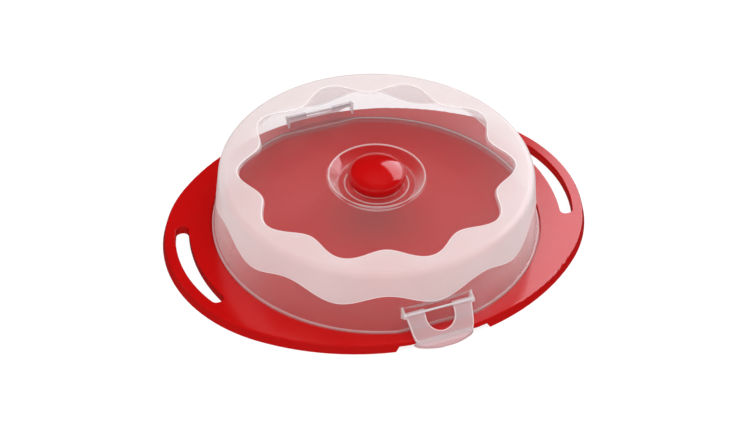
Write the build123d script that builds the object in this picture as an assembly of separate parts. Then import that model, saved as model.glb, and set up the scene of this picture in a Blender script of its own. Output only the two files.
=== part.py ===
from build123d import *
import os
from math import asin, atan2, cos, hypot, pi, sin, sqrt

# A cake carrier: a lens-shaped tray with two hand slots, a round dome lid that stands
# in the tray's recess, a knob in the lid's finger well and two latches that hook under
# the tray's edge. Millimetres. X runs through the hand slots, Y through the latches,
# Z is up. The origin is the bottom centre, on the surface that the tray stands on.

# Tray
tray_side_margin = 11.0       # top edge beyond the lid's rim, along Y
tray_end_margin = 42.0        # top edge beyond the lid's rim, along X
tray_end_inset = 20.0         # the two ends are rounded this much tighter than the half width
tray_height = 8.0
tray_flare = 2.0              # the skirt spreads this much from its top to its foot
tray_plate = 3.5              # thickness of the top plate
skirt_wall = 2.2
tray_edge_round = 1.6
slot_bar = 8.8                # width of the bar that the hand holds, at the top
slot_width = 13.2
slot_half_length = 49.0
slot_inner_radius = 155.0     # curve of the slot's inner edge
slot_corner = 4.6
slot_wall = 2.0               # wall that lines each slot
slot_edge_round = 0.7
recess_depth = 2.5
recess_play = 1.3             # gap round the lid's rim bead
recess_draft = 0.5            # the recess is this much wider at its top
pan_floor = 2.4
pan_wall = 2.2
notch_half_length = 38.0
notch_end_slant = 3.0         # the skirt's cut ends lean out by this much
notch_depth = 1.2             # the straight edge lies this far inside the curved one
notch_reach = 5.0             # how far the skirt is cut back under the plate
rib_wall = 1.6
rib_foot_gap = 0.8            # the ribs stop this far above the floor
ring_rib_radii = (45.0, 92.0)
spoke_ribs = 12

# Lid
rim_radius = 137.0            # outside of the rim bead
bead_height = 3.2
bead_proud = 1.3
bead_round = 0.6
seat_gap = 0.05               # between the rim and the recess floor
lid_height = 59.5             # rim to crown
wall_draft = 5.2              # the wall leans in this much up to the shoulder
shoulder_radius = 9.0
lid_wall = 1.7
ribbon_relief = 0.7           # the scalloped ribbon stands this far out of the wall
scallops = 10
scallop_points = 8            # points that shape each scallop
panel_margin = 30.2           # middle of the panel's wavy edge inside the rim
panel_wave = 7.0              # half the swing of the panel's wavy edge
panel_step = 2.6              # the panel lies this much below the crown
panel_step_slope = 1.6        # run of the sloped step
panel_fall = 5.2              # the panel falls this much from its edge to the well
skirt_line = 32.0             # height above the rim of the wavy line on the wall
skirt_wave = 5.4
well_radius = 40.0
well_floor_radius = 32.5
well_depth = 9.0
well_round = 1.6
seat_radius = 21.0            # raised seat under the knob
seat_height = 1.4
ring_radius = 26.6            # fine ring moulded round the seat
ring_section = 0.5

# Knob and its screw
knob_radius = 24.3
knob_dome = 14.0              # height above its widest line
knob_shoulder = 10.0          # radius of the rounding above the widest line
knob_foot_drop = 7.0          # widest line down to the flat foot
knob_foot_inset = 5.0         # the foot is this much smaller all round
knob_wall = 2.6
knob_core_radius = 5.5
knob_web = 1.8
knob_webs = 4
screw_radius = 2.0
screw_length = 14.0
screw_head_radius = 4.0
screw_head_height = 2.6
screw_slot_width = 1.1
screw_slot_depth = 1.3
screw_point = 2.0
screw_fit = 0.03              # screw in the knob's core
screw_hole_clearance = 0.3    # screw through the lid

# Latches and their hinge pins
pad_inset = 5.6               # flat pad on the lid's wall, inside the rim at its foot
pad_top = 29.6                # height of the pad's upper edge above the floor
hinge_offset = 2.2            # hinge line in front of the pad's foot
hinge_height = 24.4
pin_radius = 0.9
pin_fit_ear = 0.02
pin_fit_latch = 0.08
barrel_radius = 2.2
latch_half_width = 28.4
latch_side_gap = 0.3
ear_width = 1.8
ear_radius = 2.7
ear_drop = 7.0                # hinge down to the ear's foot on the wall
ear_root = 4.0                # depth of the ears' blank inside the pad's face
pin_end_gap = 0.2
latch_wall = 1.8
edge_clearance = 0.5          # latch plate to the corner of the tray's plate
hook_grip = 1.2               # the hook reaches this far under the plate
hook_swing_gap = 0.15         # the hook's tip swings past the plate with this to spare
hook_thickness = 1.7
tab_reach = 5.8               # finger tab beyond the hook's wall
tab_tip_height = 1.4
tab_corner_round = 8.0
tab_side_half = 25.4          # half width of the plate at its bend
tab_rib_radius = 1.0          # grip rib across the finger tab
tab_rib_height = 0.4
latch_round = 0.6
hole_half_width = 12.4
hole_foot_margin = 4.0        # hole's round end to the bend of the plate

# Worked out from the sizes above
tray_half_length = rim_radius + tray_end_margin
tray_half_width = rim_radius + tray_side_margin
tray_end_radius = tray_half_width - tray_end_inset
notch_chord = tray_half_width - notch_depth
panel_radius = rim_radius - panel_margin
pad_distance = rim_radius - pad_inset
hinge_distance = pad_distance + hinge_offset
recess_floor = tray_height - recess_depth
recess_radius = rim_radius + recess_play
rim_z = recess_floor + seat_gap
crown_z = rim_z + lid_height
wall_foot_radius = rim_radius - bead_proud
wall_foot_z = rim_z + bead_height
panel_z = crown_z - panel_step
well_lip_z = panel_z - panel_fall
well_floor_z = well_lip_z - well_depth
seat_z = well_floor_z + seat_height
knob_wide_z = seat_z + knob_foot_drop
plate_under = tray_height - tray_plate


def wall_radius(z):
    """Outside of the lid's wall at a height, on the ribbon."""
    return wall_foot_radius - wall_draft * (z - wall_foot_z) / (crown_z - wall_foot_z)


def wave(radius, swing, turn):
    """Radius of a ten-scallop outline: an outward scallop lies over each latch."""
    return radius - swing * cos(scallops * turn)


# Tray

def tray_outline(offset, z):
    """Two end arcs and two flank arcs that meet in tangents, spread by an offset."""
    end_x = tray_half_length - tray_end_radius
    rise = tray_half_width - tray_end_radius
    flank_y = (end_x ** 2 - rise ** 2) / (2 * rise)
    end_radius = tray_end_radius + offset
    flank_radius = tray_half_width + flank_y + offset
    turn = atan2(flank_y, end_x)
    x = end_x + end_radius * cos(turn)
    y = end_radius * sin(turn)
    tip = end_x + end_radius
    side = flank_radius - flank_y
    edges = [
        ThreePointArc((x, -y), (tip, 0), (x, y)),
        ThreePointArc((x, y), (0, side), (-x, y)),
        ThreePointArc((-x, y), (-tip, 0), (-x, -y)),
        ThreePointArc((-x, -y), (0, -side), (x, -y)),
    ]
    return Pos(0, 0, z) * make_face(edges)


def tray_block(offset, z_low, z_high):
    """Flared block of the tray's outline between two heights."""
    spread_low = offset + tray_flare * (1 - z_low / tray_height)
    spread_high = offset + tray_flare * (1 - z_high / tray_height)
    return loft([tray_outline(spread_low, z_low), tray_outline(spread_high, z_high)], ruled=True)


def slot_outline(grow):
    """Curved hand slot at the +X end, in the XY plane, between two arcs."""
    end_x = tray_half_length - tray_end_radius
    outer_r = tray_end_radius - slot_bar + grow
    outer_tip = end_x + outer_r
    inner_r = slot_inner_radius - grow
    inner_x = tray_half_length - slot_bar - slot_width - slot_inner_radius
    inner_tip = inner_x + inner_r
    half = slot_half_length + grow
    outer_end = end_x + sqrt(outer_r ** 2 - half ** 2)
    inner_end = inner_x + sqrt(inner_r ** 2 - half ** 2)
    edges = [
        ThreePointArc((outer_end, -half), (outer_tip, 0), (outer_end, half)),
        Line((outer_end, half), (inner_end, half)),
        ThreePointArc((inner_end, half), (inner_tip, 0), (inner_end, -half)),
        Line((inner_end, -half), (outer_end, -half)),
    ]
    shape = make_face(edges)
    return fillet(shape.vertices(), slot_corner + grow)


def build_tray():
    body = tray_block(0, 0, tray_height)
    body = fillet(body.edges().group_by(Axis.Z)[-1], tray_edge_round)
    body -= tray_block(-skirt_wall, 0, plate_under)
    pan = Cylinder(recess_radius + pan_wall, tray_height - recess_floor + pan_floor,
                   align=(Align.CENTER, Align.CENTER, Align.MAX))
    body += Pos(0, 0, tray_height) * pan
    for turn in (0, 180):
        lining = extrude(Rot(0, 0, turn) * slot_outline(slot_wall), plate_under)
        body += lining
    for radius in ring_rib_radii:
        body += ring_rib(radius)
    body += spokes()
    for turn in (0, 180):
        body -= extrude(Rot(0, 0, turn) * slot_outline(0), tray_height)
    recess = loft([Pos(0, 0, recess_floor) * Circle(recess_radius),
                   Pos(0, 0, tray_height) * Circle(recess_radius + recess_draft)])
    body -= recess
    for turn in (0, 180):
        body -= Rot(0, 0, turn) * notch_tool()
    slot_rims = [e for e in body.edges().filter_by_position(Axis.Z, tray_height - 0.01, tray_height + 0.01)
                 if abs(e.center().X) > recess_radius + pan_wall and e.length < 3 * slot_half_length
                 and abs(e.center().X) < tray_half_length - slot_bar + 1]
    return fillet(slot_rims, slot_edge_round)


def notch_tool():
    """Front notch: the plate's edge is cut straight, and the skirt is cut back under it."""
    foot_half = notch_half_length + notch_end_slant
    opening = make_face(Polyline((-foot_half, 0, 0), (-notch_half_length, 0, plate_under),
                                 (notch_half_length, 0, plate_under), (foot_half, 0, 0), close=True))
    depth = tray_half_width + tray_flare - notch_chord
    room = Pos(0, notch_reach - notch_chord, 0) * extrude(opening, notch_reach + depth, dir=(0, -1, 0))
    slab = Pos(0, -notch_chord, 0) * Box(2 * notch_half_length, 2 * depth, tray_height,
                                         align=(Align.CENTER, Align.MAX, Align.MIN))
    return room + slab


def ring_rib(radius):
    height = recess_floor - pan_floor - rib_foot_gap
    rib = Cylinder(radius + rib_wall / 2, height) - Cylinder(radius - rib_wall / 2, height)
    return Pos(0, 0, rib_foot_gap + height / 2) * rib


def spokes():
    height = recess_floor - pan_floor - rib_foot_gap
    length = recess_radius - ring_rib_radii[0]
    spoke = Pos(ring_rib_radii[0], 0, rib_foot_gap) * Box(
        length, rib_wall, height, align=(Align.MIN, Align.CENTER, Align.MIN))
    step = 360 / spoke_ribs
    return [Rot(0, 0, (i + 0.5) * step) * spoke for i in range(spoke_ribs)]


# Lid

def turned(points):
    """Solid turned about Z from an outline of radius and height."""
    outline = make_face(Polyline(*[(r, 0, z) for r, z in points], close=True))
    return revolve(outline, Axis.Z)


def dome_block(inset):
    """Filled dome without the panel, its outside moved in by a wall's thickness."""
    foot = rim_z if inset == 0 else rim_z - 1
    top = crown_z - inset
    low_r = wall_radius(foot) - inset
    top_r = wall_radius(top) - inset
    block = turned([(0, foot), (low_r, foot), (top_r, top), (0, top)])
    edge = block.edges().filter_by(GeomType.CIRCLE).sort_by(Axis.Z)[-1]
    return fillet(edge, shoulder_radius - inset)


def scallop_edges(radius_at, height_at):
    """Closed wavy line, one smooth edge for each scallop, from trough to trough."""
    span = 2 * pi / scallops
    edges = []
    for i in range(scallops):
        turns = [span * (i + j / scallop_points) for j in range(scallop_points + 1)]
        points = [(radius_at(t) * cos(t), radius_at(t) * sin(t), height_at(t)) for t in turns]
        ends = [(-sin(t), cos(t), 0) for t in (turns[0], turns[-1])]
        edges.append(Spline(*points, tangents=ends))
    return edges


def wave_face(grow, z):
    """Flat face inside the panel's wavy edge."""
    edges = scallop_edges(lambda t: wave(panel_radius + grow, panel_wave, t), lambda t: z)
    return make_face(edges)


def panel_core(inset):
    """Filled middle of the lid: panel, well and, on the outside, the knob's seat."""
    rim_r = panel_radius + panel_wave + 4 * panel_step_slope
    points = [
        (0, rim_z - 1),
        (rim_r, rim_z - 1),
        (rim_r, panel_z - inset),
        (well_radius + inset, well_lip_z - inset),
        (well_floor_radius + inset, well_floor_z - inset),
        (0, well_floor_z - inset),
    ]
    core = turned(points)
    bends = core.edges().filter_by(GeomType.CIRCLE).sort_by(SortBy.RADIUS)
    lip = [e for e in bends if abs(e.radius - well_radius - inset) < 0.01]
    root = [e for e in bends if abs(e.radius - well_floor_radius - inset) < 0.01]
    core = fillet(lip + root, well_round)
    if inset == 0:
        core += Pos(0, 0, well_floor_z) * Cylinder(
            seat_radius, seat_height, align=(Align.CENTER, Align.CENTER, Align.MIN))
        core += Pos(0, 0, well_floor_z) * Torus(ring_radius, ring_section)
    return core


def panel_tool(inset):
    """Everything above the panel, inside its sloped wavy step."""
    low_z = panel_z - inset
    step = loft([wave_face(inset, low_z), wave_face(inset + panel_step_slope, low_z + panel_step)],
                ruled=True)
    depth = panel_fall + well_depth + 1
    above = extrude(wave_face(inset, low_z - depth), depth)
    return above + step - panel_core(inset)


def ribbon_tool():
    """Thin skin outside the wall, under the lower wavy line: it is cut away there."""
    outer_r = rim_radius + 10

    def line_z(t):
        return rim_z + skirt_line + skirt_wave * cos(scallops * t)

    def foot_z(t):
        return wall_foot_z

    def cut_radius(height_at):
        return lambda t: wall_radius(height_at(t)) - ribbon_relief

    def far_radius(t):
        return outer_r

    loops = [
        scallop_edges(cut_radius(line_z), line_z),
        scallop_edges(far_radius, line_z),
        scallop_edges(far_radius, foot_z),
        scallop_edges(cut_radius(foot_z), foot_z),
    ]
    faces = []
    for i in range(len(loops)):
        for low, high in zip(loops[i], loops[(i + 1) % len(loops)]):
            faces.append(Face.make_surface_from_curves(low, high))
    return Solid(Shell(faces))


def pad_tool(inset, distance):
    """Everything outside the flat pad of the front latch, below the pad's top."""
    lean = wall_draft / (crown_z - wall_foot_z)
    low = distance - inset
    top_z = pad_top - inset
    high = low - lean * (top_z - rim_z)
    far = rim_radius + 10
    side = make_face(Polyline((0, -low, rim_z - 2), (0, -far, rim_z - 2), (0, -far, top_z),
                              (0, -high, top_z), close=True))
    return extrude(side, rim_radius, dir=(1, 0, 0), both=True)


def ears():
    """Two ears that carry the hinge pin of the front latch."""
    root_y = -(pad_distance - ear_root)
    tip_y = -hinge_distance
    profile = make_face(Polyline(
        (0, root_y, pad_top), (0, tip_y, hinge_height + ear_radius),
        (0, tip_y - ear_radius, hinge_height), (0, root_y, hinge_height - ear_drop), close=True))
    knuckle = Pos(0, tip_y, hinge_height) * Rot(0, 90, 0) * Cylinder(ear_radius, ear_width)
    plate = Pos(-ear_width / 2, 0, 0) * extrude(profile, ear_width, dir=(1, 0, 0))
    ear = plate + knuckle
    x = latch_half_width + latch_side_gap + ear_width / 2
    return [Pos(side * x, 0, 0) * ear for side in (-1, 1)]


def build_lid():
    outside = dome_block(0)
    outside -= ribbon_tool()
    bead = Cylinder(rim_radius, bead_height, align=(Align.CENTER, Align.CENTER, Align.MIN))
    bead = Pos(0, 0, rim_z) * fillet(bead.edges().filter_by(GeomType.CIRCLE), bead_round)
    cavity = dome_block(lid_wall + ribbon_relief)
    for turn in (0, 180):
        outside -= Rot(0, 0, turn) * pad_tool(0, pad_distance)
        bead -= Rot(0, 0, turn) * pad_tool(0, pad_distance + bead_proud)
        cavity -= Rot(0, 0, turn) * pad_tool(lid_wall, pad_distance)
    outside += bead
    outside -= panel_tool(0)
    cavity -= panel_tool(lid_wall)
    for turn in (0, 180):
        outside += [Rot(0, 0, turn) * ear for ear in ears()]
    lid = outside - cavity
    hole_r = screw_radius + screw_hole_clearance
    lid -= Pos(0, 0, well_floor_z) * Cylinder(hole_r, 4 * (lid_wall + seat_height))
    for turn in (0, 180):
        bore = Pos(0, -hinge_distance, hinge_height) * Rot(0, 90, 0) * Cylinder(
            pin_radius + pin_fit_ear, 3 * latch_half_width)
        lid -= Rot(0, 0, turn) * bore
    return lid


# Knob and screw

def knob_block(inset):
    """Flattened ball, cut flat at the foot, its outside moved in by a wall."""
    r = knob_radius - inset
    top = knob_dome - inset
    foot = -knob_foot_drop
    foot_r = r - knob_foot_inset
    bend = knob_shoulder - inset
    bend_x = r - bend
    crown_r = (bend_x ** 2 + top ** 2 - bend ** 2) / (2 * (top - bend))
    share = crown_r / (crown_r - bend)
    meet = (bend_x * share, top - crown_r + (crown_r - top) * share)
    edges = [
        Line((0, foot), (foot_r, foot)),
        TangentArc((r, 0), (foot_r, foot), tangent=(0, -1)),
        TangentArc((r, 0), meet, tangent=(0, 1)),
        TangentArc((0, top), meet, tangent=(1, 0)),
        Line((0, top), (0, foot)),
    ]
    return revolve(Plane.XZ * make_face(edges), Axis.Z)


def build_knob():
    """Hollow knob, open at its foot, with a core for the screw and webs round it."""
    hollow = knob_block(knob_wall)
    height = knob_foot_drop + knob_dome
    hollow -= Cylinder(knob_core_radius, 2 * height)
    for i in range(knob_webs):
        web = Box(knob_radius, knob_web, 2 * height, align=(Align.MIN, Align.CENTER, Align.CENTER))
        hollow -= Rot(0, 0, 360 * (i + 0.5) / knob_webs) * web
    knob = Pos(0, 0, knob_wide_z) * (knob_block(0) - hollow)
    pilot_depth = screw_length - lid_wall - seat_height + screw_point
    pilot = Cylinder(screw_radius + screw_fit, pilot_depth, align=(Align.CENTER, Align.CENTER, Align.MIN))
    return knob - Pos(0, 0, seat_z) * pilot


def build_screw():
    under_lid = well_floor_z - lid_wall
    shank = Cylinder(screw_radius, screw_length - screw_point, align=(Align.CENTER, Align.CENTER, Align.MIN))
    tip = Pos(0, 0, screw_length - screw_point) * Cone(
        screw_radius, screw_radius / 4, screw_point, align=(Align.CENTER, Align.CENTER, Align.MIN))
    head = Cylinder(screw_head_radius, screw_head_height, align=(Align.CENTER, Align.CENTER, Align.MAX))
    head = fillet(head.edges().sort_by(Axis.Z)[0], screw_head_height / 2)
    for turn in (0, 90):
        cut = Box(screw_head_radius, screw_slot_width, 2 * screw_slot_depth)
        head -= Pos(0, 0, -screw_head_height) * Rot(0, 0, turn) * cut
    return Pos(0, 0, under_lid) * (shank + tip + head)


# Latch

def latch_bend():
    """Where the latch's plate ends and the hook's wall begins, on the middle of the plate.

    The plate runs from the hinge and passes the upper corner of the tray's plate.
    """
    corner = (notch_chord, tray_height)
    reach = corner[0] - hinge_distance
    drop = hinge_height - corner[1]
    span = hypot(reach, drop)
    lean = atan2(reach, drop) + asin((edge_clearance + latch_wall / 2) / span)
    bend_z = plate_under + 2 * latch_wall
    bend_u = hinge_distance + (hinge_height - bend_z) * sin(lean) / cos(lean)
    return bend_u, bend_z, lean


def hook_top():
    """Height of the hook: its tip swings clear of the plate's lower corner."""
    corner_span = hypot(notch_chord - hinge_distance, hinge_height - plate_under)
    tip_u = notch_chord - hook_grip - hinge_distance
    return hinge_height - sqrt((corner_span + hook_swing_gap) ** 2 - tip_u ** 2)


def latch_side():
    """Side view of the latch: leaning plate, hook wall, hook and finger tab with its rib."""
    bend_u, bend_z, lean = latch_bend()
    half = latch_wall / 2
    out_u = cos(lean) * half
    out_z = sin(lean) * half
    wall_in = bend_u - half
    wall_out = bend_u + half
    hook_z = hook_top()
    hook_foot = hook_z - hook_thickness
    tip_u = notch_chord - hook_grip
    tab_u = wall_out + tab_reach
    tab_top = tab_tip_height + latch_wall
    root_top = hook_foot + 2 * latch_wall
    points = [
        (hinge_distance - out_u, hinge_height - out_z),
        (wall_in, bend_z - out_z),
        (wall_in, hook_z),
        (tip_u, hook_z),
        (tip_u + hook_thickness / 2, hook_foot),
        (bend_u, hook_foot),
        (tab_u, tab_tip_height),
        (tab_u, tab_top),
        (wall_out + half / 2, root_top),
        (wall_out, bend_z),
        (hinge_distance + out_u, hinge_height + out_z),
    ]
    side = make_face(Polyline(*[(u, z) for u, z in points], close=True))
    side = fillet(side.vertices(), latch_round)
    rib_u = wall_out + tab_reach / 2
    rib_z = (root_top + tab_top) / 2
    side += Pos(rib_u, rib_z - tab_rib_radius + tab_rib_height) * Circle(tab_rib_radius)
    view = Plane(origin=(0, 0, 0), x_dir=(0, -1, 0), z_dir=(-1, 0, 0))
    return view * side


def latch_plan():
    """Plan of the latch: straight sides, then the round finger tab."""
    bend_u, bend_z, lean = latch_bend()
    tip_u = bend_u + latch_wall / 2 + tab_reach
    back_u = hinge_distance - 2 * barrel_radius
    half = latch_half_width
    edges = [
        Line((-half, -back_u), (half, -back_u)),
        Line((half, -back_u), (half, -hinge_distance)),
        Line((half, -hinge_distance), (tab_side_half, -bend_u)),
        ThreePointArc((tab_side_half, -bend_u), (0, -tip_u), (-tab_side_half, -bend_u)),
        Line((-tab_side_half, -bend_u), (-half, -hinge_distance)),
        Line((-half, -hinge_distance), (-half, -back_u)),
    ]
    plan = make_face(edges)
    corners = [v for v in plan.vertices() if abs(v.Y + bend_u) < latch_round]
    return fillet(corners, tab_corner_round)


def latch_hole():
    """D-shaped finger hole, cut square to the plate, from its round end up past the barrel."""
    bend_u, bend_z, lean = latch_bend()
    span = (hinge_height - bend_z) / cos(lean)
    round_at = span - hole_foot_margin - hole_half_width
    middle = (0, -hinge_distance - round_at * sin(lean), hinge_height - round_at * cos(lean))
    plate = Plane(origin=middle, x_dir=(1, 0, 0), z_dir=(0, -cos(lean), sin(lean)))
    depth = 4 * barrel_radius
    cut = Cylinder(hole_half_width, depth)
    cut += Box(2 * hole_half_width, round_at + 2 * barrel_radius, depth,
               align=(Align.CENTER, Align.MIN, Align.CENTER))
    return plate * cut


def build_latch():
    blank = extrude(latch_side(), 2 * latch_half_width, dir=(1, 0, 0), both=True)
    blank &= extrude(latch_plan(), hinge_height + barrel_radius)
    barrel = Pos(0, -hinge_distance, hinge_height) * Rot(0, 90, 0) * Cylinder(
        barrel_radius, 2 * latch_half_width)
    latch = blank + barrel
    latch -= latch_hole()
    bore = Pos(0, -hinge_distance, hinge_height) * Rot(0, 90, 0) * Cylinder(
        pin_radius + pin_fit_latch, 4 * latch_half_width)
    return latch - bore


def build_pin():
    half = latch_half_width + latch_side_gap + ear_width - pin_end_gap
    pin = Rot(0, 90, 0) * Cylinder(pin_radius, 2 * half)
    pin = chamfer(pin.edges().filter_by(GeomType.CIRCLE), pin_radius / 4)
    return Pos(0, -hinge_distance, hinge_height) * pin


def save(name, shape):
    solid = shape if isinstance(shape, (Solid, Compound)) else Compound(shape)
    export_step(solid, "parts/" + name + ".step")
    box = solid.bounding_box()
    print(name, "size", round(box.size.X, 1), round(box.size.Y, 1), round(box.size.Z, 1))


os.makedirs("parts", exist_ok=True)
latch = build_latch()
pin = build_pin()
save("tray", build_tray())
save("lid", build_lid())
save("knob", build_knob())
save("knob_screw", build_screw())
save("latch_front", latch)
save("latch_rear", Rot(0, 0, 180) * latch)
save("hinge_pin_front", pin)
save("hinge_pin_rear", Rot(0, 0, 180) * pin)
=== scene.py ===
# %% [markdown]
# # A cake carrier in Blender
# The object is a red oval tray with a hand slot at each end. A low round dome lid of milky
# see-through plastic stands in the tray's recess. The lid has a red knob in a finger well, and
# two latches hook under the tray's edge.
#
# The exact parts come from CAD. This lesson loads them, keeps the solid ones (tray, knob, screw
# and hinge pins) and gives them new finishes. It rebuilds the moulded see-through pieces, because
# the lid needs softer edges and even quads, and the lid and the latches need a frosting that
# follows their shape.

# %% Load the frame
from math import cos, pi, radians, sin, tan

import bmesh
import bpy
from mathutils import Matrix, Vector


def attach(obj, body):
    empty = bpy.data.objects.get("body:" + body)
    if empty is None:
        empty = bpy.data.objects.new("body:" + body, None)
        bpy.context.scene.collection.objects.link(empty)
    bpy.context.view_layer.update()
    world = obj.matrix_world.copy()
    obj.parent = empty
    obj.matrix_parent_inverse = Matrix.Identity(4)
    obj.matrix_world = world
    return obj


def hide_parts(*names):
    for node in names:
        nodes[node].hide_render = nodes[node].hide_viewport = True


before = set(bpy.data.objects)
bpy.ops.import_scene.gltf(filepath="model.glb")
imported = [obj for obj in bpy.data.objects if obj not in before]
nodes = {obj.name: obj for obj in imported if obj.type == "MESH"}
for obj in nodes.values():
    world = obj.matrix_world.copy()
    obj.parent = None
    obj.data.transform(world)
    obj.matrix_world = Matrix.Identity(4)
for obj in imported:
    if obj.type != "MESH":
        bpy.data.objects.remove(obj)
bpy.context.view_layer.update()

scene = bpy.context.scene
print("CAD nodes:", sorted(nodes))

MM = 0.001

# %% [markdown]
# ## Sizes
# Every length below is a size of the real object in millimetres, with Z up and the origin under
# the middle of the tray. They are the same values that the CAD part is built from, so each new
# piece lands on its CAD body with no fitting.

# %% Sizes of the lid
rim_radius = 137.0
rim_z = 5.55
bead_height = 3.2
bead_proud = 1.3
crown_z = 65.05
wall_draft = 5.2
wall_foot_z = rim_z + bead_height
wall_foot_radius = rim_radius - bead_proud
lean = wall_draft / (crown_z - wall_foot_z)
shoulder_radius = 9.0
skin = 1.7
relief = 0.7
thick = skin + relief
scallops = 10
panel_radius = 106.8
panel_wave = 7.0
step_slope = 1.6
step_height = 2.6
panel_z = crown_z - step_height
skirt_line_z = rim_z + 32.0
skirt_wave = 5.4
pad_distance = 131.4
pad_top = 29.6
print("lid from", rim_z, "to", crown_z, "mm")

# %% Sizes of the finger well
well_radius = 40.0
well_lip_z = panel_z - 5.2
well_floor_radius = 32.5
well_floor_z = well_lip_z - 9.0
seat_radius = 21.0
seat_z = well_floor_z + 1.4
ring_radius = 26.6
ring_section = 0.5
hole_radius = 2.3
print("finger well", round(well_lip_z - well_floor_z, 1), "mm deep")

# %% Sizes of the latches
hinge_distance = 133.6
hinge_height = 24.4
latch_half_width = 28.4
ear_gap = 0.3
ear_width = 1.8
ear_radius = 2.7
ear_drop = 7.0
ear_root = 3.0
bore_radius = 0.92
print("hinge line at", hinge_distance, "mm, height", hinge_height, "mm")

# %% [markdown]
# ## Camera
# The product picture was taken with a long lens from the front left, a little above forty
# degrees. Three plain facts set such a camera: where it stands, which point on the table it looks
# at and how far it is rolled.

# %% Camera
camera_place = Vector((-0.5865, -1.3831, 1.3218))
camera_target = Vector((0.0029, 0.0081, 0.0))
camera_roll = radians(1.56)
camera_lens = 114.0
sensor_width = 36.0

camera_data = bpy.data.cameras.new("camera")
camera_data.lens = camera_lens
camera_data.sensor_width = sensor_width
camera_data.dof.use_dof = False
camera = bpy.data.objects.new("camera", camera_data)
scene.collection.objects.link(camera)
look = (camera_target - camera_place).to_track_quat("-Z", "Y").to_matrix()
rolled = look @ Matrix.Rotation(camera_roll, 3, "Z")
camera.matrix_world = Matrix.Translation(camera_place) @ rolled.to_4x4()
scene.camera = camera
scene.view_settings.view_transform = "Standard"
print("camera distance", round(camera_place.length, 3), "m")


# %% [markdown]
# ## Floor
# The picture is a studio shot on a white table. One large flat square is all that a table needs.
# Glossy plastic would mirror it in the tray's skirt, and the picture shows a deep red there, so
# the table is left out of reflections.

# %% Floor
def new_object(name, mesh):
    piece = bpy.data.objects.new(name, mesh)
    scene.collection.objects.link(piece)
    return piece


floor_half = 4.0
floor_corners = [(-floor_half, -floor_half, 0), (floor_half, -floor_half, 0),
                 (floor_half, floor_half, 0), (-floor_half, floor_half, 0)]
floor_mesh = bpy.data.meshes.new("floor")
floor_mesh.from_pydata(floor_corners, [], [(0, 1, 2, 3)])
floor_mesh.update()
floor = new_object("floor", floor_mesh)
floor.visible_glossy = False
print("floor", 2 * floor_half, "m wide")


# %% [markdown]
# ## Lamps
# Large soft lamps stand overhead, in front, left and right. Glossy plastic shows the shape of
# whatever lights it, and each mirrored lamp would lie on the tray as a pale patch. The picture
# has one such patch, a wide sheen on the tray's right end. So only one softbox may be seen in
# reflections, and the others give light alone. Splitting that softbox in two, one for the sheen
# and one for the light, lets each be set by itself. The two stand in the same place, and the
# sheen one is made first: made second, its reflection is lost.

# %% Lamps
def towards(azimuth, elevation, distance):
    """Place at a distance from the origin, by the compass and the height it is seen at."""
    flat = cos(radians(elevation))
    across = flat * cos(radians(azimuth))
    along = flat * sin(radians(azimuth))
    return distance * Vector((across, along, sin(radians(elevation))))


def soft_lamp(name, place, width, height, radiance, in_gloss=False):
    data = bpy.data.lights.new(name, "AREA")
    data.shape = "RECTANGLE"
    data.size = width
    data.size_y = height
    data.energy = radiance * pi * width * height
    lamp = new_object(name, data)
    turn = (-place).to_track_quat("-Z", "Y").to_matrix().to_4x4()
    lamp.matrix_world = Matrix.Translation(place) @ turn
    lamp.visible_glossy = in_gloss
    lamp.visible_camera = False
    return lamp


softbox_place = Vector((0.68, 0.20, 0.45))
softbox_width = 0.93
softbox_height = 0.70
soft_lamp("lamp_overhead", towards(-100, 80, 2.2), width=2.4, height=2.4, radiance=2.55)
soft_lamp("lamp_front", towards(-112, 22, 2.4), width=1.8, height=1.2, radiance=1.8)
sheen_lamp = soft_lamp("softbox_right_sheen", softbox_place, softbox_width, softbox_height,
                       radiance=4.7, in_gloss=True)
sheen_lamp.visible_diffuse = False
sheen_lamp.data.color = (0.97, 1.0, 1.07)
soft_lamp("softbox_right", softbox_place, softbox_width, softbox_height, radiance=2.4)
soft_lamp("softbox_left", towards(150, 30, 2.2), width=1.2, height=1.2, radiance=1.5)


# %% [markdown]
# ## Helpers for node trees
# Materials and Geometry Nodes are both trees of small boxes joined by links. A few helpers keep
# each tree short to read. The first adds a node and sets its inputs: a keyword is the input's
# name, or i0, i1 and so on for its number where two inputs share a name. The others do
# arithmetic, noise and colour mixing.

# %% Node helpers
def add(tree, kind, settings=None, **inputs):
    node = tree.nodes.new(kind)
    for key, value in (settings or {}).items():
        setattr(node, key, value)
    for key, value in inputs.items():
        socket = node.inputs[int(key[1:])] if key[1:].isdigit() else node.inputs[key.replace("_", " ")]
        if isinstance(value, bpy.types.NodeSocket):
            tree.links.new(value, socket)
        else:
            socket.default_value = value
    return node


def calc(tree, operation, a, b=0.0, c=0.0):
    return add(tree, "ShaderNodeMath", {"operation": operation}, i0=a, i1=b, i2=c).outputs[0]


def noise(tree, place, scale, detail=3.0, roughness=0.5):
    return add(tree, "ShaderNodeTexNoise", Vector=place, Scale=scale, Detail=detail,
               Roughness=roughness).outputs["Fac"]


def mix_colour(tree, share, first, second):
    return add(tree, "ShaderNodeMix", {"data_type": "RGBA"}, i0=share, i6=first, i7=second).outputs[2]


print("helpers:", add.__name__, calc.__name__, noise.__name__, mix_colour.__name__)


# %% Material helpers
def new_material(name):
    material = bpy.data.materials.new(name)
    material.use_nodes = True
    material.node_tree.nodes.clear()
    return material, material.node_tree


def object_place(tree):
    return add(tree, "ShaderNodeTexCoord").outputs["Object"]


def dress(piece, material):
    piece.data.materials.clear()
    piece.data.materials.append(material)


white = (1, 1, 1, 1)
print("white:", white)

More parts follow.
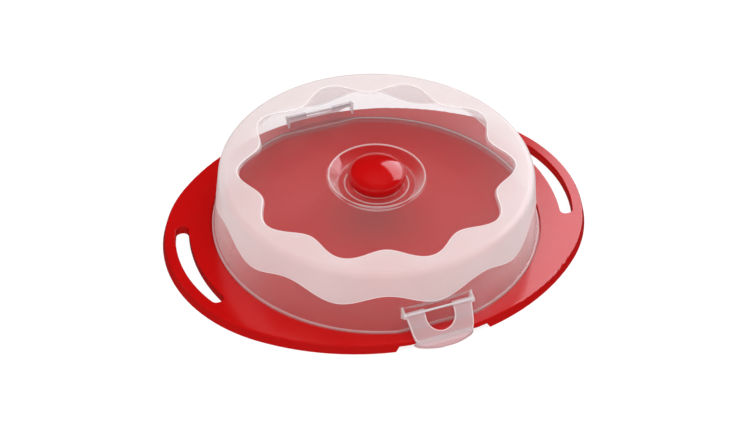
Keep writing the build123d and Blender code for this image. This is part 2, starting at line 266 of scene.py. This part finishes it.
# %% [markdown]
# ## World
# The backdrop is pure white to the camera. The room gives half of that as light from all sides,
# and almost nothing in reflections: a glossy tray in a white room would look pale, and the
# picture's red is deep. The Light Path node tells these kinds of ray apart.

# %% World
room_light = 0.50
room_in_gloss = 0.03
world = bpy.data.worlds.new("studio")
scene.world = world
world.use_nodes = True
world.node_tree.nodes.clear()
ray = add(world.node_tree, "ShaderNodeLightPath").outputs
unseen = calc(world.node_tree, "MULTIPLY_ADD", ray["Is Glossy Ray"], room_in_gloss - room_light, room_light)
strength = calc(world.node_tree, "MAXIMUM", ray["Is Camera Ray"], unseen)
studio = add(world.node_tree, "ShaderNodeBackground", Color=white, Strength=strength)
add(world.node_tree, "ShaderNodeOutputWorld", Surface=studio.outputs[0])
print("world nodes:", len(world.node_tree.nodes))

# %% [markdown]
# ## White table
# The table gives off light itself, like a photographer's light table, so the object stands on
# clean white with only a faint contact shadow. A plain floor would need lamps so strong, to look
# white, that the lid's top would burn out. Far from the middle the lamps fade, so the table's own
# light rises with the distance, and no horizon shows.

# %% White table
table_light_near = 0.85
table_light_far = 1.0
fade_from = 0.4
fade_to = 2.0
floor_white, tree = new_material("floor_white")
away = add(tree, "ShaderNodeVectorMath", {"operation": "LENGTH"}, i0=object_place(tree)).outputs["Value"]
table_light = add(tree, "ShaderNodeMapRange", Value=away, From_Min=fade_from, From_Max=fade_to,
                  To_Min=table_light_near, To_Max=table_light_far).outputs[0]
shader = add(tree, "ShaderNodeBsdfPrincipled", Base_Color=(0.16, 0.16, 0.16, 1), Roughness=0.7,
             Emission_Color=white, Emission_Strength=table_light)
add(tree, "ShaderNodeOutputMaterial", Surface=shader.outputs[0])
dress(floor, floor_white)
print("table light:", table_light_near, "to", table_light_far)


# %% [markdown]
# ## Red plastic
# The tray and the knob are moulded in one glossy red. On the real thing the colour drifts a
# little with the pigment, the gloss is uneven where hands and cloths have been, and the tray has
# a very fine skin from its mould. One noise for each of these is enough, all on Object
# coordinates, so they stay on the part when it moves. The knob is polished more than the tray.

# %% Red plastic
drift_scale = 14.0
smudge_scale = 55.0
mould_scale = 900.0
gloss_swing = 0.10
skin_depth = 0.0002


def red_plastic(name, colour, deep, roughness, grain):
    material, tree = new_material(name)
    place = object_place(tree)
    tint = mix_colour(tree, noise(tree, place, drift_scale), colour, deep)
    smudge = noise(tree, place, smudge_scale, detail=4.0, roughness=0.6)
    rough = calc(tree, "MULTIPLY_ADD", smudge, gloss_swing, roughness - gloss_swing / 2)
    mould_skin = noise(tree, place, mould_scale, detail=2.0)
    bump = add(tree, "ShaderNodeBump", Height=mould_skin, Strength=grain, Distance=skin_depth)
    shader = add(tree, "ShaderNodeBsdfPrincipled", Base_Color=tint, Roughness=rough,
                 Specular_IOR_Level=0.4, Normal=bump.outputs[0])
    add(tree, "ShaderNodeOutputMaterial", Surface=shader.outputs[0])
    return material


tray_red = red_plastic("tray_red", colour=(0.42, 0.0015, 0.0015, 1), deep=(0.385, 0.0010, 0.0010, 1),
                       roughness=0.17, grain=0.15)
knob_red = red_plastic("knob_red", colour=(0.435, 0.0020, 0.0024, 1), deep=(0.40, 0.0015, 0.0020, 1),
                       roughness=0.13, grain=0.03)
dress(nodes["tray"], tray_red)
dress(nodes["knob"], knob_red)
print("red plastics:", tray_red.name, knob_red.name)

# %% [markdown]
# ## Milky see-through plastic
# The lid and the latches are moulded from unfilled polypropylene. Where the mould is polished, as
# at the lid's middle panel and its lower wall, it is nearly clear. Where the mould is etched, as
# at the raised band between the two wavy lines, it is frosted. Seen edge-on it is whiter. Each
# moulded line is whitest of all, and that white is a painted highlight: the most frosted rows are
# mixed towards white for the light that a rounded moulded edge catches. Real refraction through two
# thin skins would only add noise, so the finish mixes three simple things: see-through, milk and
# gloss. The milk follows an attribute called frost, from 0 for clear to 1 for a white line with a
# painted highlight, that each mesh carries.
#
# The latch's tab hangs beside the red tray and shows some of its red, which is red light bounced
# off the tray. Here that is painted: a second, pink milk colour, a painted reflection mixed in by
# height, so it stays on the tab when the latch swings.

# %% Milk levels
grain_scale = 420.0
cloud_scale = 18.0
glare_power = 8.0
glare_milk = 0.2
edge_power = 3.0
edge_milk = 0.7
cloud_low = 0.90
cloud_swing = 0.20
most_milk = 0.95
frost_rough = 0.30
grain_rough = 0.06
glow_share = 0.44
mirror_power = 5.0
mirror_face_on = 0.025
mirror_edge_on = 0.35
# Painted reflection of the red tray on the latch's tab: milkier and pinker below these heights.
bounce_milk = 0.35
bounce_low = 4.0 * MM
bounce_high = 7.0 * MM
print("milk at a white line:", most_milk)


# %% Milky plastic
def milky_plastic(name, tint, milk_colour, thin_milk, thick_milk, roughness, painted_bounce_colour=None):
    material, tree = new_material(name)
    place = object_place(tree)
    grain = noise(tree, place, grain_scale)
    frost = add(tree, "ShaderNodeAttribute", {"attribute_name": "frost"}).outputs["Fac"]
    edge_on = add(tree, "ShaderNodeLayerWeight", Blend=0.5).outputs["Facing"]
    # glare is a painted highlight: the most frosted rows are mixed towards white.
    glare = calc(tree, "POWER", frost, glare_power)
    milk = calc(tree, "MULTIPLY_ADD", frost, thick_milk - thin_milk, thin_milk)
    milk = calc(tree, "MULTIPLY_ADD", glare, glare_milk, milk)
    milk = calc(tree, "MULTIPLY_ADD", calc(tree, "POWER", edge_on, edge_power), edge_milk, milk)
    shade = milk_colour
    # Painted reflection: the shade turns pink towards the tray, by height.
    if painted_bounce_colour:
        height = add(tree, "ShaderNodeSeparateXYZ", Vector=place).outputs["Z"]
        bounce_share = add(tree, "ShaderNodeMapRange", Value=height, From_Min=bounce_low, From_Max=bounce_high,
                   To_Min=1.0, To_Max=0.0).outputs[0]
        milk = calc(tree, "MULTIPLY_ADD", bounce_share, bounce_milk, milk)
        shade = mix_colour(tree, bounce_share, milk_colour, painted_bounce_colour)
    # Painted highlight: the shade is mixed towards white by glare.
    shade = mix_colour(tree, glare, shade, white)
    cloud = calc(tree, "MULTIPLY_ADD", noise(tree, place, cloud_scale), cloud_swing, cloud_low)
    milk = calc(tree, "MULTIPLY", milk, cloud)
    milk = add(tree, "ShaderNodeClamp", Value=milk, Min=0.0, Max=most_milk).outputs[0]
    rough = calc(tree, "MULTIPLY_ADD", frost, frost_rough, roughness)
    rough = calc(tree, "MULTIPLY_ADD", grain, grain_rough, rough)
    mirror = calc(tree, "POWER", edge_on, mirror_power)
    mirror = calc(tree, "MULTIPLY_ADD", mirror, mirror_edge_on, mirror_face_on)
    bump = add(tree, "ShaderNodeBump", Height=grain, Strength=0.05, Distance=skin_depth).outputs[0]
    clear = add(tree, "ShaderNodeBsdfTransparent", Color=tint)
    lit = add(tree, "ShaderNodeBsdfPrincipled", Base_Color=shade, Roughness=0.5,
              Specular_IOR_Level=0.1, Normal=bump)
    glow = add(tree, "ShaderNodeBsdfTranslucent", Color=shade)
    gloss = add(tree, "ShaderNodeBsdfGlossy", Color=white, Roughness=rough, Normal=bump)
    body = add(tree, "ShaderNodeMixShader", i0=glow_share, i1=lit.outputs[0], i2=glow.outputs[0])
    plastic = add(tree, "ShaderNodeMixShader", i0=milk, i1=clear.outputs[0], i2=body.outputs[0])
    whole = add(tree, "ShaderNodeMixShader", i0=mirror, i1=plastic.outputs[0], i2=gloss.outputs[0])
    add(tree, "ShaderNodeOutputMaterial", Surface=whole.outputs[0])
    return material


lid_milk = milky_plastic("lid_milk", tint=(0.985, 0.975, 0.98, 1), milk_colour=(0.88, 0.87, 0.865, 1),
                         thin_milk=0.01, thick_milk=0.78, roughness=0.03)
# The latch's second, pink colour is a painted reflection of the red tray.
latch_milk = milky_plastic("latch_milk", tint=(0.97, 0.955, 0.97, 1), milk_colour=(0.92, 0.88, 0.89, 1),
                           thin_milk=0.18, thick_milk=0.75, roughness=0.10,
                           painted_bounce_colour=(0.62, 0.36, 0.37, 1))
print("milky plastics:", lid_milk.name, latch_milk.name)


# %% [markdown]
# ## The lid's section
# The dome is one section swept round the middle, but two of its lines are wavy: the step round
# the sunk panel and the edge of the raised band on the wall. So the section is drawn once, as a
# closed loop of rows, and each row also says how far it follows each wave, how steep its surface
# is, where a latch's flat pad cuts it, and how frosted it is. Geometry Nodes can then do the rest.

# %% Rows of the section
NO_PAD = 1000.0
CONE_SHARES = (0.012, 0.1, 0.3, 0.5, 0.65, 0.8, 0.92, 0.99, 1.0)


def row(radius, height, bend=0.0, panel=0.0, skirt=0.0, rise=0.0, pad=NO_PAD, frost=0.0):
    return {"radius": radius, "height": height, "bend": bend, "panel": panel,
            "skirt": skirt, "rise": rise, "pad": pad, "frost": frost}


def wall_radius(z):
    return wall_foot_radius - lean * (z - wall_foot_z)


def wall_row(z, inset, **extra):
    """A row on the drafted wall, this far inside its outer face."""
    return row(wall_radius(z) - inset, z, **extra)


def pad_at(z, inset=0.0):
    return pad_distance - inset - lean * (z - rim_z)


def cone_rows(inner, outer):
    """Rows on the sunk panel's cone: near the step they follow its wave."""
    low_r, low_z = inner
    high_r, high_z = outer
    slope = (high_z - low_z) / (high_r - low_r)
    rows = []
    for share in CONE_SHARES:
        r = low_r + share * (high_r - low_r)
        rows.append(row(r, low_z + slope * (r - low_r), panel=share ** 2, rise=slope))
    return rows


print("wall radius at the crown:", round(wall_radius(crown_z), 2), "mm")


# %% Round bends
arc_steps = 4
large_bend = 3.0
longest_reach = 0.49


def soften(rows):
    """Replace each bent row by rows on a round arc between its two neighbours."""
    result = []
    for i, here in enumerate(rows):
        before, after = rows[i - 1], rows[(i + 1) % len(rows)]
        corner = Vector((here["radius"], here["height"]))
        back = Vector((before["radius"], before["height"])) - corner
        ahead = Vector((after["radius"], after["height"])) - corner
        if here["bend"] == 0 or back.length == 0 or ahead.length == 0:
            result.append(here)
            continue
        turn = pi - back.angle(ahead)
        reach = min(here["bend"] * tan(turn / 2), longest_reach * back.length, longest_reach * ahead.length)
        start = corner + back.normalized() * reach
        end = corner + ahead.normalized() * reach
        weight = cos(turn / 2)
        count = arc_steps if here["bend"] < large_bend else 3 * arc_steps
        for k in range(count + 1):
            s = k / count
            pull = 2 * weight * s * (1 - s)
            spot = start * (1 - s) ** 2 + corner * pull + end * s ** 2
            spot = spot / ((1 - s) ** 2 + pull + s ** 2)
            result.append({**here, "radius": spot.x, "height": spot.y})
    return result


print("rows on a small bend:", arc_steps + 1)

# %% Frost levels
FAINT = 0.10
WALL = 0.12
INNER_STEP = 0.15
WELL_EDGE = 0.20
STEP = 0.40
BEAD = 0.50
LINE = 0.55
LIP = 0.70
BAND = 0.81
# Rows at this level are frosted and mixed fully to white, a painted highlight.
FROSTED_HIGHLIGHT = 1.0
print("frost of the band", BAND, "and of the lower wall", WALL)

# %% Rows of the finger well
line_fade = 0.3
lip_fade = 0.8
seat_fade = 0.6
fine_bend = 0.3
floor_bend = 1.2
lip_bend = 0.8
ring_steps = 6
well_slope = (well_lip_z - well_floor_z) / (well_radius - well_floor_radius)
well_rows = [
    row(hole_radius, seat_z),
    row(seat_radius - seat_fade, seat_z),
    row(seat_radius, seat_z, bend=fine_bend, frost=LINE),
    row(seat_radius, well_floor_z, bend=fine_bend),
    row(seat_radius + lip_fade, well_floor_z),
    row(ring_radius - ring_section - line_fade, well_floor_z),
]
for k in range(ring_steps + 1):
    turn = pi * (1 - k / ring_steps)
    well_rows.append(row(ring_radius + ring_section * cos(turn), well_floor_z + ring_section * sin(turn),
                         frost=LINE))
well_rows += [
    row(ring_radius + ring_section + line_fade, well_floor_z),
    row(well_floor_radius - floor_bend, well_floor_z),
    row(well_floor_radius, well_floor_z, bend=floor_bend, frost=WELL_EDGE),
    row(well_floor_radius + lip_fade, well_floor_z + well_slope * lip_fade),
    row(well_radius - lip_fade, well_lip_z - well_slope * lip_fade),
    row(well_radius, well_lip_z, bend=lip_bend, frost=LIP),
]
print("rows of the finger well:", len(well_rows))

# %% Rows of the panel and the band
crown_line = 0.4
skirt_line = 0.5
band_run = 5.0
band_bend = 0.35
skirt_bend = 0.25
band_still_z = 52.0
band_half_z = 46.0
cone_end_radius = panel_radius + panel_wave + 4 * step_slope
panel_slope = (panel_z - well_lip_z) / (cone_end_radius - well_radius)
cone_edge = well_lip_z + panel_slope * (panel_radius - well_radius)
step_radius = panel_radius + step_slope
step_rise = step_height / step_slope
crown_radius = wall_radius(crown_z)
band_rows = cone_rows((well_radius, well_lip_z), (panel_radius, cone_edge))
# The crown line and the skirt line are frosted and carry a painted highlight.
band_rows += [
    row(panel_radius, panel_z, panel=1, frost=FAINT),
    row(step_radius - crown_line, crown_z - crown_line * step_rise, panel=1, frost=STEP),
    row(step_radius, crown_z, bend=band_bend, panel=1, frost=FROSTED_HIGHLIGHT),
    row(step_radius + crown_line, crown_z, panel=1, frost=FROSTED_HIGHLIGHT),
    row(step_radius + crown_line + line_fade, crown_z, panel=1, frost=BAND),
    row(panel_radius + band_run, crown_z, panel=0.8, frost=BAND),
    row(crown_radius, crown_z, bend=shoulder_radius, frost=BAND),
    wall_row(band_still_z, 0, frost=BAND),
    wall_row(band_half_z, 0, skirt=0.5, frost=BAND),
    wall_row(skirt_line_z + skirt_line + line_fade, 0, skirt=1, frost=BAND),
    wall_row(skirt_line_z + skirt_line, 0, skirt=1, frost=FROSTED_HIGHLIGHT),
    wall_row(skirt_line_z, 0, bend=skirt_bend, skirt=1, frost=FROSTED_HIGHLIGHT),
    wall_row(skirt_line_z, relief, bend=skirt_bend, skirt=1, frost=BEAD),
]
print("rows of the panel and the band:", len(band_rows))

# %% Rows of the lower wall and the rim
wall_half_z = 33.0
wall_still_z = 30.2
pad_start = 0.15
pad_proud = 0.2
pad_run = 0.3
pad_heights = (26, 22, 18, 14, 10.5)
foot_bend = 0.4
bead_bend = 0.6
pad_top_radius = wall_radius(pad_top) - relief
wall_rows = [
    wall_row(skirt_line_z - 1, relief, skirt=1, frost=WALL),
    wall_row(wall_half_z, relief, skirt=0.4, frost=WALL),
    wall_row(wall_still_z, relief, frost=WALL),
    row(pad_top_radius, pad_top + pad_start, frost=WALL),
    row(pad_top_radius, pad_top, pad=pad_at(pad_top) + pad_proud, frost=WALL),
    row(pad_top_radius, pad_top - pad_run, pad=pad_at(pad_top), frost=WALL),
]
wall_rows += [wall_row(z, relief, pad=pad_at(z), frost=WALL) for z in pad_heights]
wall_rows += [
    wall_row(wall_foot_z, relief, bend=foot_bend, pad=pad_at(wall_foot_z), frost=WALL),
    row(rim_radius, wall_foot_z, bend=bead_bend, pad=pad_at(wall_foot_z) + bead_proud, frost=BEAD),
    row(rim_radius, rim_z, bend=bead_bend, pad=pad_at(rim_z) + bead_proud, frost=FAINT),
]
print("rows of the lower wall:", len(wall_rows))

# %% Rows of the inside
inner_pad_heights = (rim_z, 9, 14, 20, 25, pad_top - skin - pad_proud)
inner_heights = (pad_top - skin, 34, 44, 52)
inner_band_run = 8.0
inner_bend = 1.6
ceiling = crown_z - thick
inner_lip = (well_radius + skin, well_lip_z - skin)
inner_panel_radius = panel_radius + skin
inner_slope = (panel_z - skin - inner_lip[1]) / (cone_end_radius - inner_lip[0])
inner_edge = inner_lip[1] + inner_slope * (inner_panel_radius - inner_lip[0])
step_share = (ceiling - (panel_z - skin)) / (crown_z - panel_z)
inner_rows = [wall_row(z, thick, pad=pad_at(z, skin)) for z in inner_pad_heights]
inner_rows += [wall_row(z, thick) for z in inner_heights]
inner_rows += [
    wall_row(ceiling, thick, bend=shoulder_radius - thick),
    row(panel_radius + inner_band_run, ceiling, panel=0.8),
    row(inner_panel_radius + step_share * step_slope, ceiling, bend=fine_bend, panel=1, frost=INNER_STEP),
    row(inner_panel_radius, panel_z - skin, panel=1),
]
inner_rows += reversed(cone_rows(inner_lip, (inner_panel_radius, inner_edge)))
inner_rows += [
    row(*inner_lip, bend=inner_bend),
    row(well_floor_radius + skin, well_floor_z - skin, bend=inner_bend),
    row(hole_radius, well_floor_z - skin),
]
section = soften(well_rows + band_rows + wall_rows + inner_rows)
print("rows in the lid's section:", len(section))


# %% [markdown]
# ## Sweeping the section with Geometry Nodes
# The tree turns the loop of rows into a curve and sweeps it round a circle. Curve to Mesh carries
# every row's values along, so one Set Position can then put each point where its row and its turn
# want it. The number of scallops and the swing of both waves are inputs, and the same tree would
# make a lid with any number of them. The circle's own size doesn't matter, because Set Position
# moves every point.

# %% Tree helpers
def new_tree(name, inputs):
    tree = bpy.data.node_groups.new(name, "GeometryNodeTree")
    tree.interface.new_socket("Geometry", in_out="INPUT", socket_type="NodeSocketGeometry")
    tree.interface.new_socket("Geometry", in_out="OUTPUT", socket_type="NodeSocketGeometry")
    keys = {}
    for label, kind in inputs.items():
        socket = tree.interface.new_socket(label, in_out="INPUT", socket_type="NodeSocket" + kind)
        keys[label] = socket.identifier
    return tree, keys, tree.nodes.new("NodeGroupInput"), tree.nodes.new("NodeGroupOutput")


def finish_tree(tree, geometry, given, result):
    """Every tree ends the same way: instances are made real, then get their finish."""
    whole = add(tree, "GeometryNodeRealizeInstances", Geometry=geometry)
    finished = add(tree, "GeometryNodeSetMaterial", Geometry=whole.outputs[0],
                   Material=given.outputs["Material"])
    tree.links.new(finished.outputs[0], result.inputs[0])
    print("nodes in", tree.name + ":", len(tree.nodes))


def run_tree(name, source, tree, keys, values):
    """Evaluate a tree on a source object and keep the result as a plain mesh object."""
    modifier = source.modifiers.new("tree", "NODES")
    modifier.node_group = tree
    for label, value in values.items():
        modifier[keys[label]] = value
    graph = bpy.context.evaluated_depsgraph_get()
    mesh = bpy.data.meshes.new_from_object(source.evaluated_get(graph))
    source.modifiers.remove(modifier)
    bpy.data.objects.remove(source)
    mesh.name = name
    return new_object(name, mesh)


# %% Lid tree: sweep
guide_radius = 0.1
lid_tree, lid_keys, given, result = new_tree("scalloped_shell", {
    "Scallops": "Float", "Panel wave": "Float", "Skirt wave": "Float", "Wall lean": "Float",
    "Steps round": "Int", "Material": "Material"})
section_curve = add(lid_tree, "GeometryNodeMeshToCurve", Mesh=given.outputs["Geometry"])
circle = add(lid_tree, "GeometryNodeCurvePrimitiveCircle", Resolution=given.outputs["Steps round"],
             Radius=guide_radius)
part_turn = calc(lid_tree, "DIVIDE", 2 * pi, given.outputs["Steps round"])
point_turn = calc(lid_tree, "MULTIPLY", add(lid_tree, "GeometryNodeInputIndex").outputs[0], part_turn)
path = add(lid_tree, "GeometryNodeStoreNamedAttribute", Geometry=circle.outputs["Curve"],
           Name="turn", Value=point_turn)
swept = add(lid_tree, "GeometryNodeCurveToMesh", Curve=path.outputs[0],
            Profile_Curve=section_curve.outputs[0])
print("nodes for the sweep:", len(lid_tree.nodes))

# %% Lid tree: place of each point
least_side = 0.001
pad_blend = 0.4


def read(name):
    return add(lid_tree, "GeometryNodeInputNamedAttribute", Name=name).outputs["Attribute"]


def times(a, b):
    return calc(lid_tree, "MULTIPLY", a, b)


turn = read("turn")
swing = calc(lid_tree, "COSINE", times(turn, given.outputs["Scallops"]))
panel_move = times(times(swing, given.outputs["Panel wave"]), read("row_panel"))
skirt_move = times(times(swing, given.outputs["Skirt wave"]), read("row_skirt"))
leaned = times(skirt_move, given.outputs["Wall lean"])
round_r = calc(lid_tree, "SUBTRACT", calc(lid_tree, "SUBTRACT", read("row_radius"), panel_move), leaned)
side_on = calc(lid_tree, "ABSOLUTE", calc(lid_tree, "SINE", turn))
pad_r = calc(lid_tree, "DIVIDE", read("row_pad"), calc(lid_tree, "MAXIMUM", side_on, least_side))
final_r = calc(lid_tree, "SMOOTH_MIN", round_r, pad_r, pad_blend)
lifted = calc(lid_tree, "SUBTRACT", skirt_move, times(panel_move, read("row_rise")))
final_z = calc(lid_tree, "ADD", read("row_height"), lifted)
reach = times(final_r, MM)
spot = add(lid_tree, "ShaderNodeCombineXYZ", X=times(reach, calc(lid_tree, "COSINE", turn)),
           Y=times(reach, calc(lid_tree, "SINE", turn)), Z=times(final_z, MM))
placed = add(lid_tree, "GeometryNodeSetPosition", Geometry=swept.outputs[0], Position=spot.outputs[0])
finish_tree(lid_tree, placed.outputs[0], given, result)

# %% Lid shell
merge_distance = 1e-6
smooth_below = 40
steps_per_scallop = 48


def point_outward(piece):
    """Merge doubles, turn every face outward and shade all but the sharp edges smooth."""
    work = bmesh.new()
    work.from_mesh(piece.data)
    bmesh.ops.remove_doubles(work, verts=work.verts, dist=merge_distance)
    bmesh.ops.recalc_face_normals(work, faces=work.faces)
    open_edges = sum(not edge.is_manifold for edge in work.edges)
    work.to_mesh(piece.data)
    work.free()
    piece.data.shade_smooth()
    piece.data.set_sharp_from_angle(angle=radians(smooth_below))
    print(piece.name, len(piece.data.polygons), "faces,", open_edges, "open edges")


def store(mesh, name, values):
    mesh.attributes.new(name, "FLOAT", "POINT").data.foreach_set("value", values)


count = len(section)
section_mesh = bpy.data.meshes.new("lid_section")
section_mesh.from_pydata([(r["radius"] * MM, r["height"] * MM, 0) for r in section],
                         [(i, (i + 1) % count) for i in range(count)], [])
for name in ("radius", "height", "panel", "skirt", "rise", "pad"):
    store(section_mesh, "row_" + name, [r[name] for r in section])
store(section_mesh, "frost", [r["frost"] for r in section])
section_loop = new_object("lid_section", section_mesh)
lid_shell = run_tree("lid_shell", section_loop, lid_tree, lid_keys, {
    "Scallops": float(scallops), "Panel wave": panel_wave, "Skirt wave": skirt_wave,
    "Wall lean": lean, "Steps round": steps_per_scallop * scallops, "Material": lid_milk})
point_outward(lid_shell)
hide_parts("lid")
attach(lid_shell, "lid_body")


# %% [markdown]
# ## Ears for the hinge pins
# Four small ears stand out of the wall and carry the pins that the latches swing on. Each is a
# flat plate with a round nose and a bore, so a flat curve with a hole and a bevel makes one, and
# a small tree repeats it on both sides of both latches. The curve is drawn flat, with the ear's
# Y and Z as its X and Y, and then stood up.

# %% Ear
nose_start = 90
nose_turn = 177
nose_steps = 12
bore_steps = 24
ear_round = 0.3
ear_root_y = -(pad_distance - ear_root)
nose_angles = [radians(nose_start + nose_turn * k / nose_steps) for k in range(nose_steps + 1)]
nose = [(-hinge_distance + ear_radius * cos(a), hinge_height + ear_radius * sin(a)) for a in nose_angles]
ear_outline = [(ear_root_y, pad_top)] + nose + [(ear_root_y, hinge_height - ear_drop)]
bore_angles = [2 * pi * k / bore_steps for k in range(bore_steps)]
bore = [(-hinge_distance + bore_radius * cos(a), hinge_height + bore_radius * sin(a)) for a in bore_angles]
ear_curve = bpy.data.curves.new("ear", "CURVE")
ear_curve.dimensions = "2D"
ear_curve.fill_mode = "BOTH"
ear_curve.extrude = (ear_width / 2 - ear_round) * MM
ear_curve.bevel_depth = ear_round * MM
ear_curve.offset = -ear_round * MM
ear_curve.bevel_resolution = 2
for outline in (ear_outline, bore):
    spline = ear_curve.splines.new("POLY")
    spline.points.add(len(outline) - 1)
    for point, (y, z) in zip(spline.points, outline):
        point.co = (y * MM, z * MM, 0, 1)
    spline.use_cyclic_u = True
print("points of the ear's outline:", len(ear_outline))

# %% Ear as a mesh
flat_ear = new_object("flat_ear", ear_curve)
ear_mesh = bpy.data.meshes.new_from_object(flat_ear.evaluated_get(bpy.context.evaluated_depsgraph_get()))
bpy.data.objects.remove(flat_ear)
stand_up = Matrix(((0, 0, 1, 0), (1, 0, 0, 0), (0, 1, 0, 0), (0, 0, 0, 1)))
ear_mesh.transform(stand_up)
one_ear = new_object("one_ear", ear_mesh)
print("faces of one ear:", len(ear_mesh.polygons))

# %% Ear tree
ear_tree, ear_keys, given, result = new_tree("hinge_ears", {
    "Half spread": "Float", "Latches": "Int", "Material": "Material"})


def along_x(value):
    return add(ear_tree, "ShaderNodeCombineXYZ", X=value).outputs[0]


left = calc(ear_tree, "MULTIPLY", given.outputs["Half spread"], -1.0)
spread = calc(ear_tree, "MULTIPLY", given.outputs["Half spread"], 2.0)
pair = add(ear_tree, "GeometryNodeMeshLine", Count=2, Start_Location=along_x(left), Offset=along_x(spread))
ears = add(ear_tree, "GeometryNodeInstanceOnPoints", Points=pair.outputs[0],
           Instance=given.outputs["Geometry"])
sides = add(ear_tree, "GeometryNodeMeshLine", Count=given.outputs["Latches"], Offset=(0.0, 0.0, 0.0))
part_turn = calc(ear_tree, "DIVIDE", 2 * pi, given.outputs["Latches"])
side_turn = calc(ear_tree, "MULTIPLY", add(ear_tree, "GeometryNodeInputIndex").outputs[0], part_turn)
about_z = add(ear_tree, "ShaderNodeCombineXYZ", Z=side_turn)
turned = add(ear_tree, "GeometryNodeInstanceOnPoints", Points=sides.outputs[0], Instance=ears.outputs[0],
             Rotation=about_z.outputs[0])
finish_tree(ear_tree, turned.outputs[0], given, result)

# %% Four ears
EAR = 0.5
lid_ears = run_tree("lid_ears", one_ear, ear_tree, ear_keys, {
    "Half spread": (latch_half_width + ear_gap + ear_width / 2) * MM, "Latches": 2, "Material": lid_milk})
store(lid_ears.data, "frost", [EAR] * len(lid_ears.data.vertices))
point_outward(lid_ears)
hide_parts("lid")
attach(lid_ears, "lid_body")


# %% [markdown]
# ## Latches
# A latch is one moulded plate: two barrels for the pin, a D-shaped finger hole, a hook and a
# rounded tab. Its CAD body already has the exact shape, so a merged copy of it is used. The two big
# flat faces get a narrow rim, frosted because a real moulding is thicker there. The rim is also
# whitened, a painted highlight for the bright line that light draws all round its outline. A rim
# along a bend is left out, since no edge shows there, and the bend itself is a milkier band, whose
# extra white is a painted highlight on the lit ridge.
#
# A bevel on every real edge marks those edges for the same frosting. It hardly rounds them: half a
# millimetre is asked for, but Blender stops a bevel where its faces would overlap, and the copy's
# shortest edges, about 0.04 mm, stop this one at a few thousandths. So the edges stay sharp. To
# round them, the short edges would have to be merged first.

# %% Latch copies
plate_area = 400 * MM ** 2
rim_width = 0.6 * MM
bend_length = 8 * MM
level_within = 0.1 * MM
flat_within = 0.6
sharp_above = 35
bevel_steps = 3


def bright_rim(work):
    """Inset the big flat faces and give the inset faces at real edges the second material."""
    plates = [face for face in work.faces if face.calc_area() > plate_area]
    rim = bmesh.ops.inset_region(work, faces=plates, thickness=rim_width, use_boundary=True,
                                 use_even_offset=True)
    bright = 0
    for face in rim["faces"]:
        longest = max(face.edges, key=lambda edge: edge.calc_length())
        level = abs((longest.verts[1].co - longest.verts[0].co).z) < level_within
        if not (level and longest.calc_length() > bend_length):
            face.material_index = 1
            bright += 1
    print(len(plates), "flat faces,", bright, "bright rim faces")


def merged_copy(node):
    """A copy of a CAD body with its flat faces whole again."""
    mesh = nodes[node].data.copy()
    mesh.materials.clear()
    mesh.materials.append(latch_milk)
    mesh.materials.append(latch_milk)
    custom = mesh.attributes.get("custom_normal")
    if custom:
        mesh.attributes.remove(custom)
    work = bmesh.new()
    work.from_mesh(mesh)
    bmesh.ops.remove_doubles(work, verts=work.verts, dist=merge_distance)
    bmesh.ops.dissolve_limit(work, angle_limit=radians(flat_within), verts=work.verts, edges=work.edges,
                             use_dissolve_boundaries=False)
    bright_rim(work)
    work.to_mesh(mesh)
    work.free()
    return mesh


def softened_copy(node, name, width):
    source = new_object(name + "_source", merged_copy(node))
    bevel = source.modifiers.new("bevel", "BEVEL")
    bevel.width = width
    bevel.segments = bevel_steps
    bevel.limit_method = "ANGLE"
    bevel.angle_limit = radians(sharp_above)
    bevel.material = 1
    graph = bpy.context.evaluated_depsgraph_get()
    rounded = bpy.data.meshes.new_from_object(source.evaluated_get(graph))
    source.modifiers.remove(bevel)
    bpy.data.objects.remove(source)
    return new_object(name, rounded)


# %% Both latches
latch_round = 0.5 * MM
bend_low = 6.0 * MM
bend_high = 9.0 * MM
# EDGE and BEND also whiten their faces: painted highlights on the rim and on the lit bend.
EDGE = 0.88
BEND = 0.60
PLATE = 0.18


def latch_frost(polygon):
    if polygon.material_index == 1:
        return EDGE
    return BEND if bend_low < polygon.center.z < bend_high else PLATE


for side in ("front", "rear"):
    latch = softened_copy("latch_" + side, "latch_plate_" + side, latch_round)
    point_outward(latch)
    levels = [latch_frost(polygon) for polygon in latch.data.polygons]
    frost = latch.data.attributes.new("frost", "FLOAT", "FACE")
    frost.data.foreach_set("value", levels)
    latch.data.polygons.foreach_set("material_index", [0] * len(levels))
    dress(latch, latch_milk)
    print(latch.name, "bright faces:", levels.count(EDGE))
    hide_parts("latch_" + side)
    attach(latch, "latch_" + side + "_body")


# %% [markdown]
# ## Steel
# The pins are plain bright wire and the screw is zinc-plated. A full metal with fine streaks would
# be the plain choice, but this room is dark in reflections and it would turn nearly black. So the
# finish is only part metal, and stays light grey.

# %% Steel
steel_rough = 0.35
streak_rough = 0.15
streak_scale = 600.0
steel, tree = new_material("bright_steel")
streaks = noise(tree, object_place(tree), streak_scale)
rough = calc(tree, "MULTIPLY_ADD", streaks, streak_rough, steel_rough)
bump = add(tree, "ShaderNodeBump", Height=streaks, Strength=0.1, Distance=0.0001).outputs[0]
shader = add(tree, "ShaderNodeBsdfPrincipled", Base_Color=(0.88, 0.88, 0.89, 1), Metallic=0.55,
             Roughness=rough, Normal=bump)
add(tree, "ShaderNodeOutputMaterial", Surface=shader.outputs[0])
steel_nodes = ("knob_screw", "hinge_pin_front", "hinge_pin_rear")
for name in steel_nodes:
    dress(nodes[name], steel)
print("steel on:", steel_nodes)
